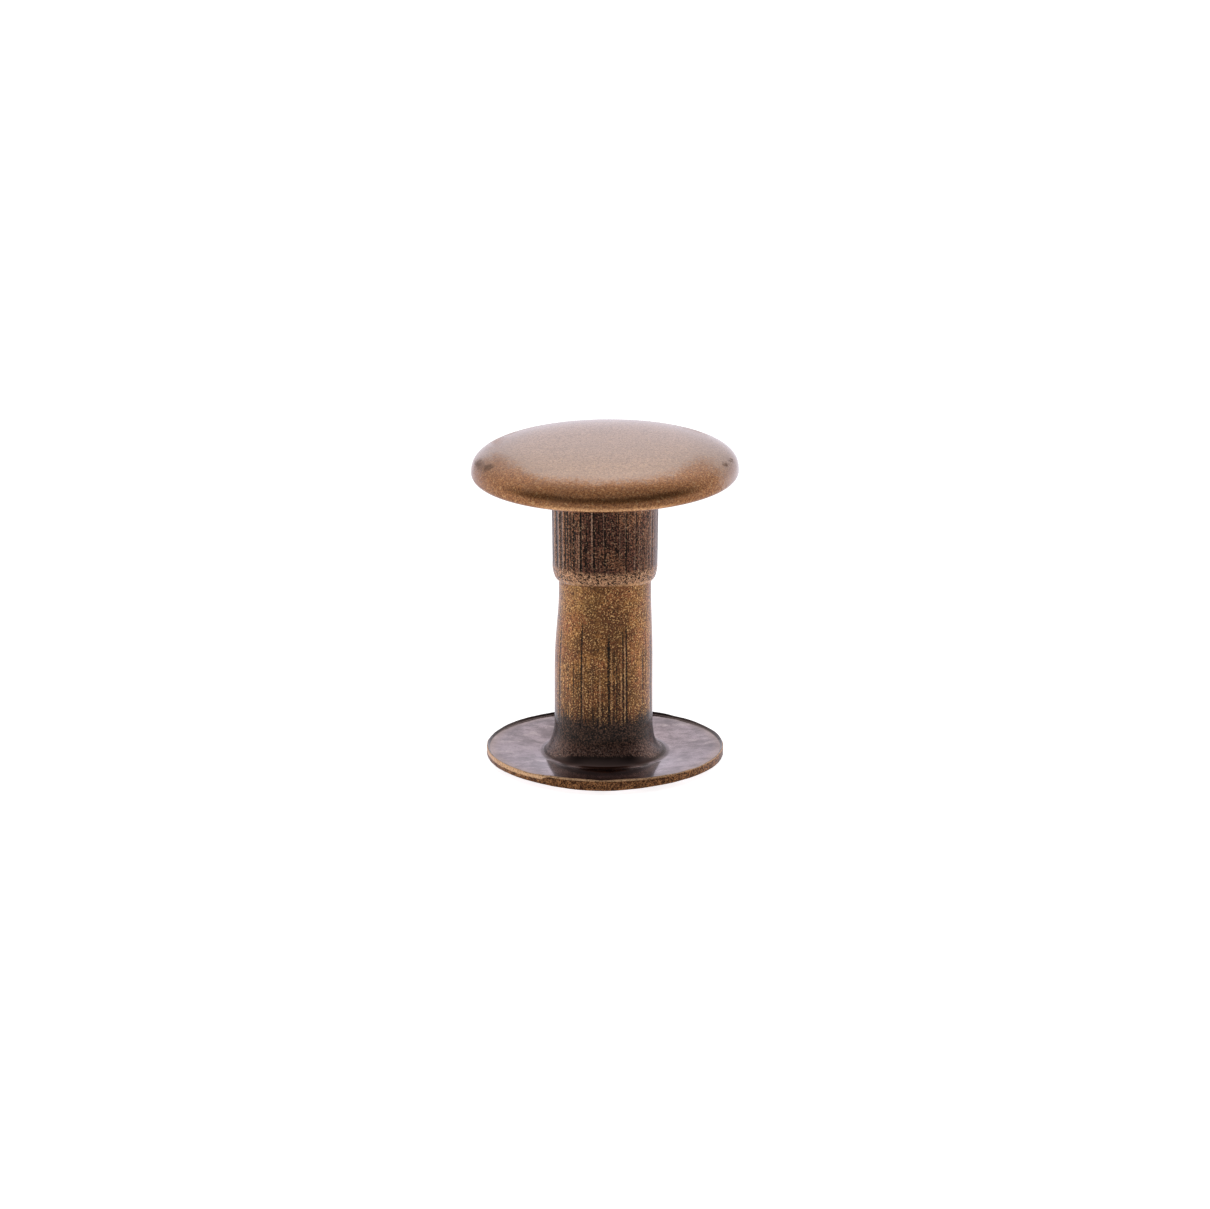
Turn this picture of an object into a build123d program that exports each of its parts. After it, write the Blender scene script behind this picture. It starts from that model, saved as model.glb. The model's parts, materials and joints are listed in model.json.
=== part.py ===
from build123d import *
import os

# A capped tubular rivet for leather and cloth, unset: the cap is pushed onto the post by hand.
# All sizes are in millimetres. The axis of the rivet is Z, the underside of the foot is at z = 0,
# and every piece is drawn from thin sheet, so every piece is one closed profile turned about Z.

# ---- Driving dimensions: post -----------------------------------------------------------------
post_height = 9.0
post_wall = 0.25
shank_radius = 1.655
shank_low_z = 1.42
shank_high_z = 3.2
neck_radius = 1.56
neck_low_z = 5.95
tip_round = 0.4
neck_ease_low = 1.4      # how far the shank's line holds before the neck pulls in
neck_ease_high = 0.85    # how far the neck's line holds below its start

foot_radius = 4.0
foot_sheet = 0.27
foot_dish = 0.15         # the rim stands this much higher than the middle
foot_edge_round = 0.04
foot_seat_width = 0.4    # the flat ring that the post stands on

flare_radius = 2.08      # where the shank's flare meets the top of the foot
flare_lean = 0.22        # how far the flare leans in over its first stretch
flare_ease_low = 0.27
flare_ease_high = 0.5
throat_radius = 2.1      # the trumpet mouth of the hollow post, underneath
throat_ease = 0.4
throat_ease_high = 0.72

# ---- Driving dimensions: cap shell ------------------------------------------------------------
cap_radius = 4.5
cap_equator_z = 10.14    # the widest circle, where the dome ends
cap_rise = 0.97          # from the widest circle up to the crown
crown_ease = 0.926       # share of the radius over which the crown's level line holds
edge_ease = 0.607        # share of the rise over which the edge's upright line holds
cap_sheet = 0.16
cap_fold_round = 0.18    # the tight fold under the widest circle
hem_inner_radius = 3.75

# ---- Driving dimensions: socket ---------------------------------------------------------------
socket_sheet = 0.17
socket_flange_radius = 4.1
socket_root_radius = 1.805
socket_root_round = 0.35
socket_end_radius = 1.765
socket_end_z = 6.87      # where the straight wall ends and the shoulder turns in
socket_low_z = 6.41      # the bottom of the shoulder
mouth_clearance = 0.016  # between the socket's mouth and the post's neck
mouth_nose_round = 0.044  # the mouth's turned-in lip

# ---- Sizes that follow ------------------------------------------------------------------------
bore_radius = shank_radius - post_wall
neck_bore_radius = neck_radius - post_wall
seat_outer_radius = throat_radius + foot_seat_width
rim_top_z = foot_dish + foot_sheet
rim_corner_radius = foot_radius - foot_edge_round
tip_shoulder_z = post_height - tip_round
tip_flat_radius = neck_radius - tip_round

fold_center = (cap_radius - cap_fold_round, cap_equator_z)
hem_low_z = cap_equator_z - cap_fold_round
hem_high_z = hem_low_z + cap_sheet
hem_nose_radius = hem_inner_radius + cap_sheet / 2

socket_bore_root = socket_root_radius - socket_sheet
socket_bore_end = socket_end_radius - socket_sheet
socket_root_center = (socket_root_radius + socket_root_round, hem_high_z - socket_root_round)
mouth_radius = neck_radius + mouth_clearance
shoulder_drop = socket_end_z - socket_low_z

os.makedirs("parts", exist_ok=True)


def dish_height(radius):
    """Height of the foot's gentle dish over its middle: steep at the flare, level at the rim."""
    reach = (rim_corner_radius - radius) / (rim_corner_radius - flare_radius)
    return foot_dish * (1 - reach**2)


def dome_curve(radius, rise):
    """Four points of the curve from the crown down to the widest circle."""
    top_z = cap_equator_z + rise
    edge_z = cap_equator_z + edge_ease * rise
    return (0, top_z), (crown_ease * radius, top_z), (radius, edge_z), (radius, cap_equator_z)


# ---- Post: a deep-drawn hollow tube, closed at the tip, with a dished foot --------------------
with BuildPart() as post:
    with BuildSketch(Plane.XZ):
        with BuildLine():
            seat = Line((throat_radius, 0), (seat_outer_radius, 0))
            under_mid = (seat_outer_radius + rim_corner_radius) / 2
            dish_under = ThreePointArc(
                seat @ 1, (under_mid, dish_height(under_mid)), (rim_corner_radius, foot_dish)
            )
            rim_low = CenterArc((rim_corner_radius, foot_dish + foot_edge_round), foot_edge_round, -90, 90)
            rim_high = CenterArc((rim_corner_radius, rim_top_z - foot_edge_round), foot_edge_round, 0, 90)
            Line(rim_low @ 1, rim_high @ 0)
            over_mid = (flare_radius + rim_corner_radius) / 2
            dish_over = ThreePointArc(
                rim_high @ 1, (over_mid, foot_sheet + dish_height(over_mid)), (flare_radius, foot_sheet)
            )
            flare = Bezier(
                dish_over @ 1,
                (flare_radius - flare_lean, foot_sheet + flare_ease_low),
                (shank_radius, shank_low_z - flare_ease_high),
                (shank_radius, shank_low_z),
            )
            shank = Line(flare @ 1, (shank_radius, shank_high_z))
            neck_ogee = Bezier(
                shank @ 1,
                (shank_radius, shank_high_z + neck_ease_low),
                (neck_radius, neck_low_z - neck_ease_high),
                (neck_radius, neck_low_z),
            )
            neck = Line(neck_ogee @ 1, (neck_radius, tip_shoulder_z))
            tip_corner = CenterArc((tip_flat_radius, tip_shoulder_z), tip_round, 0, 90)
            tip = Line(tip_corner @ 1, (0, post_height))
            axis_wall = Line(tip @ 1, (0, post_height - post_wall))
            blind_end = Line(axis_wall @ 1, (tip_flat_radius, post_height - post_wall))
            blind_corner = CenterArc((tip_flat_radius, tip_shoulder_z), tip_round - post_wall, 90, -90)
            neck_bore = Line(blind_corner @ 1, (neck_bore_radius, neck_low_z))
            bore_ogee = Bezier(
                neck_bore @ 1,
                (neck_bore_radius, neck_low_z - neck_ease_high),
                (bore_radius, shank_high_z + neck_ease_low),
                (bore_radius, shank_high_z),
            )
            bore = Line(bore_ogee @ 1, (bore_radius, shank_low_z))
            Bezier(
                bore @ 1,
                (bore_radius, shank_low_z - throat_ease_high),
                (throat_radius - throat_ease, 0),
                seat @ 0,
            )
        make_face()
    revolve(axis=Axis.Z)
post.part.label = "post"
export_step(post.part, "parts/post.step")


# ---- Cap shell: a dome whose edge is rolled under into a flat hem -----------------------------
with BuildPart() as cap_shell:
    with BuildSketch(Plane.XZ):
        with BuildLine():
            dome = Bezier(*dome_curve(cap_radius, cap_rise))
            fold = CenterArc(fold_center, cap_fold_round, 0, -90)
            Line(fold @ 1, (hem_nose_radius, hem_low_z))
            nose = CenterArc((hem_nose_radius, hem_low_z + cap_sheet / 2), cap_sheet / 2, -90, -180)
            Line(nose @ 1, (fold_center[0], hem_high_z))
            CenterArc(fold_center, cap_fold_round - cap_sheet, -90, 90)
            inner_dome = Bezier(*dome_curve(cap_radius - cap_sheet, cap_rise - cap_sheet))
            Line(inner_dome @ 0, dome @ 0)
        make_face()
    revolve(axis=Axis.Z)
cap_shell.part.label = "cap_shell"
export_step(cap_shell.part, "parts/cap_shell.step")


# ---- Socket: a drawn tube with a flange on the hem and a rounded shoulder that grips the neck --
with BuildPart() as socket:
    with BuildSketch(Plane.XZ):
        with BuildLine():
            flange_under = Line((socket_flange_radius, hem_high_z), (socket_root_center[0], hem_high_z))
            root = CenterArc(socket_root_center, socket_root_round, 90, 90)
            wall = Line(root @ 1, (socket_end_radius, socket_end_z))
            nose_radius = mouth_radius + mouth_nose_round
            shoulder = Bezier(
                wall @ 1,
                (socket_end_radius, socket_end_z - shoulder_drop / 2),
                ((socket_end_radius + nose_radius) / 2, socket_low_z),
                (nose_radius, socket_low_z),
            )
            lip = CenterArc((nose_radius, socket_low_z + mouth_nose_round), mouth_nose_round, -90, -90)
            mouth = Line(lip @ 1, (mouth_radius, socket_low_z + socket_sheet))
            inner_shoulder = Bezier(
                mouth @ 1,
                (socket_bore_end, socket_low_z + socket_sheet + mouth_nose_round),
                (socket_bore_end, socket_end_z - socket_sheet),
                (socket_bore_end, socket_end_z),
            )
            socket_bore = Line(inner_shoulder @ 1, (socket_bore_root, socket_root_center[1]))
            inner_root = CenterArc(socket_root_center, socket_root_round + socket_sheet, 180, -90)
            flange_over = Line(inner_root @ 1, (socket_flange_radius, hem_high_z + socket_sheet))
            Line(flange_over @ 1, flange_under @ 0)
        make_face()
    revolve(axis=Axis.Z)
socket.part.label = "socket"
export_step(socket.part, "parts/socket.step")
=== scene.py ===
import json
import math
import random

import bmesh
import bpy
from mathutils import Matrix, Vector, noise


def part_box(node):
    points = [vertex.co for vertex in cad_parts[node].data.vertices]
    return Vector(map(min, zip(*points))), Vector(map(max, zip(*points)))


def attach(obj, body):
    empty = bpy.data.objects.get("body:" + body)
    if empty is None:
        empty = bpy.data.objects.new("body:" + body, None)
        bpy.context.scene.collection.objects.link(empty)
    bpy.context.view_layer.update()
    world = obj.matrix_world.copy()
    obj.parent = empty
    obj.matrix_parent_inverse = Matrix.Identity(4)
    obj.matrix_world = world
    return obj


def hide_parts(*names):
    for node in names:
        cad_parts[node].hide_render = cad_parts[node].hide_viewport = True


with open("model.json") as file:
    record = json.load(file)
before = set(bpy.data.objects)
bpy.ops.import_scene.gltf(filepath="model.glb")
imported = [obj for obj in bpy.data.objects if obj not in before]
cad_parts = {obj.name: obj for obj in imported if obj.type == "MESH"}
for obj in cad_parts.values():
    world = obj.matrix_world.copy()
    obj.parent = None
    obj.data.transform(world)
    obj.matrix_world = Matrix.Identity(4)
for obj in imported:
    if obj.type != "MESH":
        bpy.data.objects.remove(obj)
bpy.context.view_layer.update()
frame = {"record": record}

# A capped tubular rivet in antique brass. Profiles are drawn in millimetres as (radius, height)
# points and turned about Z; the meshes are in metres, in the frame of the CAD model.
# Angles are in degrees about Z: 0 is +X, on the right, and the front faces -90.
MM = 0.001
FRONT = -90.0

# ---- Sizes read from the frame ------------------------------------------------------------------
POST_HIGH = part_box("post")[1] / MM
CAP_LOW, CAP_HIGH = (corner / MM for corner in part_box("cap_shell"))
SOCKET_LOW, SOCKET_HIGH = (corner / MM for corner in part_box("socket"))
MOUNTS = {mount["name"]: mount for mount in frame["record"]["mounts"]}
SHANK_RADIUS = MOUNTS["shank"]["dims"]["r_mm"]

# ---- Sizes of the post --------------------------------------------------------------------------
POST_WALL = 0.25
SHANK_LOW_Z = 1.42
SHANK_HIGH_Z = 3.2
NECK_RADIUS = 1.56
NECK_LOW_Z = 5.95
NECK_EASE_LOW = 1.4  # how far the shank's line holds before the neck pulls in
NECK_EASE_HIGH = 0.85  # how far the neck's line holds below its start
TIP_ROUND = 0.4
FOOT_RADIUS = POST_HIGH.x
FOOT_SHEET = 0.27
FOOT_DISH = 0.15
FOOT_EDGE_ROUND = 0.04
RIM_CORNER = FOOT_RADIUS - FOOT_EDGE_ROUND
RIM_TOP = FOOT_DISH + FOOT_SHEET
FLARE_RADIUS = 2.08
FLARE_LEAN = 0.22  # how far the flare leans in over its first stretch
FLARE_EASE_LOW = 0.27
FLARE_EASE_HIGH = 0.5
CREASE_WIDTH = 0.12  # the rounded crease where the flare meets the foot
CREASE_HEIGHT = 0.075
CREASE_EASE = 0.02
THROAT_RADIUS = 2.1
THROAT_EASE = 0.4
THROAT_EASE_HIGH = 0.72
SEAT_WIDTH = 0.4
SEAT_OUTER = THROAT_RADIUS + SEAT_WIDTH

# ---- Sizes of the cap and the socket ------------------------------------------------------------
CAP_RADIUS = CAP_HIGH.x
CROWN_Z = CAP_HIGH.z
HEM_Z = CAP_LOW.z
CAP_SHEET = 0.16
FOLD_ROUND = 0.18
EQUATOR_Z = HEM_Z + FOLD_ROUND
CROWN_EASE = 0.926
EDGE_EASE = 0.607
HEM_INNER_RADIUS = 3.75
HEM_TOP = HEM_Z + CAP_SHEET
SOCKET_SHEET = 0.17
SOCKET_ROOT_RADIUS = 1.805
SOCKET_ROOT_ROUND = 0.35
SOCKET_END_RADIUS = 1.765
SOCKET_END_Z = 6.87
MOUTH_RADIUS = NECK_RADIUS + 0.016
MOUTH_NOSE = 0.044

# ---- Wear and the marks of making ---------------------------------------------------------------
CAP_SLANT = 0.0095  # the cap sits askew: how far it rises across each millimetre
POST_BOW = 0.05  # how far the middle of the post stands off the axis, to the left
FLARE_PINCH = 0.10  # the flare is narrower on the right than on the left
POST_SCORE_DEPTH = 0.007
SOCKET_SCORE_DEPTH = 0.013
SHEAR_JOG = -119.0  # where the foot's sheared edge has a step
JOG_HEIGHT = 0.045
BURR_HEIGHT = 0.08  # the burr that stands on the foot's edge
BURR_HANG = 0.028  # how far the edge hangs down in front
SIDE_LIFT = 0.045  # how far it is short at the sides and behind
MOUTH_LIFT = 0.12  # the socket's drawn end is a little short in front


# ---- Profile helpers ----------------------------------------------------------------------------
def line(start, end, steps):
    """Points along a straight line, the last one left out."""
    shares = [i / steps for i in range(steps)]
    return [(start[0] + (end[0] - start[0]) * t, start[1] + (end[1] - start[1]) * t) for t in shares]


def arc(center, radius, start, sweep, steps):
    """Points along an arc, the last one left out."""
    angles = [math.radians(start + sweep * i / steps) for i in range(steps)]
    return [(center[0] + radius * math.cos(a), center[1] + radius * math.sin(a)) for a in angles]


def bezier(p0, p1, p2, p3, steps):
    """Points along a cubic curve, the last one left out."""
    points = []
    for i in range(steps):
        t = i / steps
        weights = ((1 - t) ** 3, 3 * (1 - t) ** 2 * t, 3 * (1 - t) * t**2, t**3)
        corners = (p0, p1, p2, p3)
        points.append(tuple(sum(w * p[k] for w, p in zip(weights, corners, strict=True)) for k in (0, 1)))
    return points


def smooth(low, high, value):
    """0 below low, 1 above high, and an even S between them."""
    t = min(1.0, max(0.0, (value - low) / (high - low)))
    return t * t * (3 - 2 * t)


def bell(value, middle, width):
    """1 at the middle, falling to nearly 0 two widths away."""
    return math.exp(-(((value - middle) / width) ** 2))


def turn_from(angle, middle):
    """Degrees from middle to angle, the short way round."""
    return (angle - middle + 180) % 360 - 180


def bell_at(angle, middle, width):
    """1 at the middle angle, falling to nearly 0 two widths away on either side."""
    return bell(turn_from(angle, middle), 0, width)


def wave(radius, z, angle, size, seed):
    """Smooth noise over the surface, about -1 to 1, with waves about size mm long."""
    a = math.radians(angle)
    place = Vector((radius * math.cos(a), radius * math.sin(a), z)) / size
    return noise.noise(place + Vector((seed, seed * 0.37, seed * 0.71)))


def turned(name, profile, segments, shape):
    """A closed mesh: the closed profile turned about Z.

    shape(radius, z, angle) gives how far each point moves out and up in mm, its groove, and a second mark:
    the tarnished spots on the cap, the grainy end on the socket, and painted shade down the flare's sides
    on the post.
    """
    mesh = bmesh.new()
    groove = mesh.verts.layers.float.new("groove")
    mark_and_shade = mesh.verts.layers.float.new("mark_and_shade")
    rings = []
    for radius, z in profile:
        if radius < 1e-6:
            rings.append([mesh.verts.new((0, 0, z * MM))] * segments)
            continue
        ring = []
        for j in range(segments):
            angle = 360 * j / segments
            out, up, depth, dark = shape(radius, z, angle)
            a = math.radians(angle)
            across = (radius + out) * math.cos(a)
            deep = (radius + out) * math.sin(a)
            vert = mesh.verts.new((across * MM, deep * MM, (z + up) * MM))
            vert[groove] = depth
            vert[mark_and_shade] = dark
            ring.append(vert)
        rings.append(ring)
    for ring, after in zip(rings, rings[1:] + rings[:1], strict=True):
        for j in range(segments):
            k = (j + 1) % segments
            corners = [ring[j], ring[k], after[k], after[j]]
            corners = [v for n, v in enumerate(corners) if v not in corners[:n]]
            if len(corners) > 2:
                mesh.faces.new(corners).smooth = True
    bmesh.ops.recalc_face_normals(mesh, faces=mesh.faces)
    data = bpy.data.meshes.new(name)
    mesh.to_mesh(data)
    mesh.free()
    piece = bpy.data.objects.new(name, data)
    bpy.context.scene.collection.objects.link(piece)
    return piece


# ---- Draw lines ---------------------------------------------------------------------------------
def scatter_lines(seed, count, reach, strong):
    """Scratches left by the drawing die: angle, half width in degrees, depth, low end, high end."""
    dice = random.Random(seed)
    low, high = reach
    lines = list(strong)
    for _ in range(count):
        middle = dice.uniform(low, high)
        half = dice.uniform(0.15, 0.8) * (high - low)
        depth = dice.uniform(0.15, 0.8) * dice.choice((1, 1, -0.8))
        lines.append((dice.uniform(0, 360), dice.uniform(0.4, 0.7), depth, middle - half, middle + half))
    return lines


def line_depth(lines, angle, z):
    """How deep the surface is scored here: above 0 in a groove, below 0 on a ridge."""
    depth = 0.0
    for middle, half, amount, low, high in lines:
        away = abs(turn_from(angle, middle))
        if away < 2.5 * half and low < z < high:
            ends = smooth(low, low + 0.4, z) * (1 - smooth(low + 0.8 * (high - low), high, z))
            patchy = 0.9 + 0.6 * noise.noise(Vector((middle, z * 4.0, 0)))
            depth += amount * bell(away, 0, half) * ends * patchy
    return depth


# ---- Piece: post --------------------------------------------------------------------------------
def dish_height(radius):
    """Height of the foot's gentle dish over its middle: steep at the flare, level at the rim."""
    reach = (RIM_CORNER - radius) / (RIM_CORNER - FLARE_RADIUS)
    return FOOT_DISH * (1 - reach**2)


def foot_profile():
    """The seat, the dished underside, the rim and the top of the foot, as far as the crease."""
    rim_low_center = (RIM_CORNER, FOOT_DISH + FOOT_EDGE_ROUND)
    rim_high_center = (RIM_CORNER, RIM_TOP - FOOT_EDGE_ROUND)
    crease = FLARE_RADIUS + CREASE_WIDTH
    points = line((THROAT_RADIUS, 0), (SEAT_OUTER, 0), steps=3)
    for i in range(10):
        share = i / 10
        points.append((SEAT_OUTER + (RIM_CORNER - SEAT_OUTER) * share, FOOT_DISH * share * (2 - share)))
    points += arc(rim_low_center, FOOT_EDGE_ROUND, -90, 90, steps=5)
    points += line((FOOT_RADIUS, rim_low_center[1]), (FOOT_RADIUS, rim_high_center[1]), steps=8)
    points += arc(rim_high_center, FOOT_EDGE_ROUND, 0, 90, steps=6)
    top_radii = [RIM_CORNER - step for step in (0, 0.015, 0.03, 0.045, 0.06, 0.08)]
    inner = RIM_CORNER - 0.1
    top_radii += [inner + (crease - inner) * i / 30 for i in range(30)]
    points += [(radius, FOOT_SHEET + dish_height(radius)) for radius in top_radii]
    return points


def post_profile():
    tip_flat = NECK_RADIUS - TIP_ROUND
    tip_z = POST_HIGH.z
    tip_center = (tip_flat, tip_z - TIP_ROUND)
    bore = SHANK_RADIUS - POST_WALL
    neck_bore = NECK_RADIUS - POST_WALL
    ogee_low_z = SHANK_HIGH_Z + NECK_EASE_LOW
    ogee_high_z = NECK_LOW_Z - NECK_EASE_HIGH

    # up the outside: crease, flare, shank, neck and tip
    crease = FLARE_RADIUS + CREASE_WIDTH
    crease_z = FOOT_SHEET + dish_height(crease)
    crease_inner = (crease - CREASE_WIDTH / 2, crease_z)
    crease_corner = (FLARE_RADIUS, FOOT_SHEET + CREASE_EASE)
    flare_low = (FLARE_RADIUS - CREASE_WIDTH / 2, FOOT_SHEET + CREASE_HEIGHT)
    flare_lean = (FLARE_RADIUS - FLARE_LEAN, FOOT_SHEET + FLARE_EASE_LOW)
    flare_ease = (SHANK_RADIUS, SHANK_LOW_Z - FLARE_EASE_HIGH)
    shank_low = (SHANK_RADIUS, SHANK_LOW_Z)
    shank_high = (SHANK_RADIUS, SHANK_HIGH_Z)
    neck_low = (NECK_RADIUS, NECK_LOW_Z)
    points = foot_profile()
    points += bezier((crease, crease_z), crease_inner, crease_corner, flare_low, steps=5)
    points += bezier(flare_low, flare_lean, flare_ease, shank_low, steps=24)
    points += line(shank_low, shank_high, steps=14)
    points += bezier(shank_high, (SHANK_RADIUS, ogee_low_z), (NECK_RADIUS, ogee_high_z), neck_low, steps=22)
    points += line(neck_low, (NECK_RADIUS, tip_center[1]), steps=8)
    points += arc(tip_center, TIP_ROUND, 0, 90, steps=8)
    points += line((tip_flat, tip_z), (0, tip_z), steps=3) + [(0, tip_z)]

    # down the inside: blind end, neck bore, bore and throat
    bore_low = (bore, SHANK_LOW_Z)
    bore_high = (bore, SHANK_HIGH_Z)
    neck_bore_low = (neck_bore, NECK_LOW_Z)
    throat_high = (bore, SHANK_LOW_Z - THROAT_EASE_HIGH)
    points += line((0, tip_z - POST_WALL), (tip_flat, tip_z - POST_WALL), steps=2)
    points += arc(tip_center, TIP_ROUND - POST_WALL, 90, -90, steps=5)
    points += line((neck_bore, tip_center[1]), neck_bore_low, steps=2)
    points += bezier(neck_bore_low, (neck_bore, ogee_high_z), (bore, ogee_low_z), bore_high, steps=6)
    points += line(bore_high, bore_low, steps=2)
    points += bezier(bore_low, throat_high, (THROAT_RADIUS - THROAT_EASE, 0), (THROAT_RADIUS, 0), steps=14)
    return points


# angle, half width, depth, low end, high end: the deep scores in front
POST_SCORES = (
    (-154.0, 1.5, 1.2, 1.1, 5.2),
    (-137.0, 0.8, 0.6, 1.2, 4.4),
    (-118.4, 1.0, 1.4, 1.2, 5.6),
    (-116.0, 0.7, -0.6, 1.6, 4.3),
    (-109.5, 0.6, 0.5, 1.5, 3.9),
    (-105.0, 0.6, 0.5, 1.3, 3.4),
    (-98.2, 0.7, 0.8, 1.4, 3.9),
    (-95.6, 0.6, -0.6, 1.4, 3.5),
    (-92.6, 0.7, 0.7, 1.2, 3.6),
    (-85.3, 1.1, 1.6, 1.1, 5.3),
    (-82.4, 0.7, -0.5, 1.3, 4.5),
    (-79.4, 0.8, 1.0, 1.2, 4.8),
    (-76.0, 0.7, 0.9, 1.2, 4.2),
    (-73.2, 0.7, 0.8, 1.3, 4.4),
    (-70.6, 0.6, -0.5, 1.3, 3.8),
    (-68.1, 0.9, 1.3, 1.2, 5.4),
    (-65.8, 0.7, -0.9, 1.5, 4.9),
    (-63.4, 1.0, 1.5, 1.6, 5.5),
    (-57.5, 0.7, 0.6, 1.2, 3.6),
    (-38.0, 1.0, 0.6, 1.3, 4.4),
    (-16.0, 2.0, 1.2, 1.2, 4.9),
)
POST_LINES = scatter_lines(11, 170, (1.0, 4.3), POST_SCORES)


def rim_underside(angle):
    """How far the sheared edge hangs down: a burr in front, a little short at the sides."""
    burr = bell_at(angle, FRONT - 4, 26)
    return SIDE_LIFT * (1 - burr) - BURR_HANG * burr + 0.008 * wave(4, 0, angle, 0.5, 3)


def foot_edge_shift(radius, z, angle):
    """How far a point of the foot's outer part moves out and up."""
    edge = smooth(SEAT_OUTER, RIM_CORNER, radius)
    top = smooth(FOOT_DISH, RIM_TOP, z) if radius > RIM_CORNER - 0.01 else z > FOOT_SHEET
    burr = BURR_HEIGHT * (1 + 0.35 * wave(4, 0, angle, 0.7, 12))
    out = 0.0
    up = edge * (1 - top) * rim_underside(angle)
    up += edge * top * (0.010 * wave(3, 0, angle, 1.7, 2) + 0.003 * wave(radius, z, angle, 0.6, 9))
    up += top * burr * smooth(RIM_CORNER - 0.05, RIM_CORNER, radius)
    if radius > RIM_CORNER - 0.06:
        out = 0.006 * wave(radius, z * 2, angle, 0.16, 7) + 0.005 * wave(4, 0, angle, 0.35, 4)
        jog = smooth(SHEAR_JOG - 1.5, SHEAR_JOG + 1.5, turn_from(angle, 0))
        jog *= 1 - smooth(-60, -20, turn_from(angle, 0))
        up += JOG_HEIGHT * top * (jog - 0.5) * bell_at(angle, FRONT, 50)
    return out, up


def post_shape(radius, z, angle):
    """Scores and ripples on the shank, a ragged foot edge, the pinched flare, painted shade down the
    flare's sides, and the bow.
    """
    out, up, depth, mark_and_shade = 0.0, 0.0, 0.0, 0.0
    if radius > SHANK_RADIUS - 0.2 and FOOT_SHEET + 0.3 < z < NECK_LOW_Z + 1:
        depth = line_depth(POST_LINES, angle, z)
        out = -POST_SCORE_DEPTH * depth + 0.003 * wave(radius, z, angle, 0.9, 5)
    elif radius > SEAT_OUTER and z < RIM_TOP + 0.01:
        out, up = foot_edge_shift(radius, z, angle)
    elif radius > SHANK_RADIUS:
        out = 0.004 * wave(radius, z, angle, 0.35, 6)
    if SHANK_RADIUS - 0.01 < radius < FLARE_RADIUS and FOOT_SHEET < z < SHANK_HIGH_Z:
        out -= FLARE_PINCH * bell_at(angle, 0, 45) * bell(z, 0.60, 0.38)
        # painted shade: dark lines down the flare's right and left sides
        mark_and_shade = bell_at(angle, -7, 9) + 0.6 * bell_at(angle, -172, 8)
        mark_and_shade *= bell(z, 0.80, 0.42)
    if radius < FLARE_RADIUS:
        bow = smooth(FOOT_SHEET, SHANK_LOW_Z, z) * (1 - smooth(SHANK_HIGH_Z, NECK_LOW_Z, z))
        out -= POST_BOW * bow * math.cos(math.radians(angle))
    return out, up, depth, mark_and_shade


# ---- Piece: cap shell ---------------------------------------------------------------------------
def dome_curve(radius, rise, steps):
    """From the crown down to the widest circle."""
    top_z = EQUATOR_Z + rise
    crown_end = (CROWN_EASE * radius, top_z)
    edge_start = (radius, EQUATOR_Z + EDGE_EASE * rise)
    return bezier((0, top_z), crown_end, edge_start, (radius, EQUATOR_Z), steps)


def cap_profile():
    rise = CROWN_Z - EQUATOR_Z
    fold_center = (CAP_RADIUS - FOLD_ROUND, EQUATOR_Z)
    nose = HEM_INNER_RADIUS + CAP_SHEET / 2
    points = dome_curve(CAP_RADIUS, rise, steps=100)
    points += arc(fold_center, FOLD_ROUND, 0, -90, steps=12)
    points += line((fold_center[0], HEM_Z), (nose, HEM_Z), steps=8)
    points += arc((nose, HEM_Z + CAP_SHEET / 2), CAP_SHEET / 2, -90, -180, steps=10)
    points += line((nose, HEM_TOP), (fold_center[0], HEM_TOP), steps=3)
    points += arc(fold_center, FOLD_ROUND - CAP_SHEET, -90, 90, steps=3)
    points.append((CAP_RADIUS - CAP_SHEET, EQUATOR_Z))
    inner = dome_curve(CAP_RADIUS - CAP_SHEET, rise - CAP_SHEET, steps=16)
    return points + inner[:0:-1] + [inner[0]]


# angle, half width, height over the widest circle, half height, strength: the tarnished spots
CAP_SPOTS = (
    (-171, 7, 0.48, 0.11, 1.0),
    (-160, 4, 0.56, 0.09, 0.9),
    (-17, 3.5, 0.54, 0.06, 0.9),
    (-8, 3, 0.50, 0.06, 0.8),
)


def cap_shape(radius, z, angle):
    """The slant, a faint swell over the dome, and the tarnished spots."""
    up = CAP_SLANT * radius * math.cos(math.radians(angle))
    swell = 0.005 * wave(radius, z, angle, 2.2, 1) + 0.0012 * wave(radius, z, angle, 0.5, 8)
    up += swell * smooth(0, 0.6, z - EQUATOR_Z)
    mark_and_shade = 0.0
    for middle, half_width, rise, half_height, strength in CAP_SPOTS:
        mark_and_shade += strength * bell_at(angle, middle, half_width) * bell(z, EQUATOR_Z + rise, half_height)
    return 0.0, up, 0.0, min(1.0, mark_and_shade)


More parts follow.
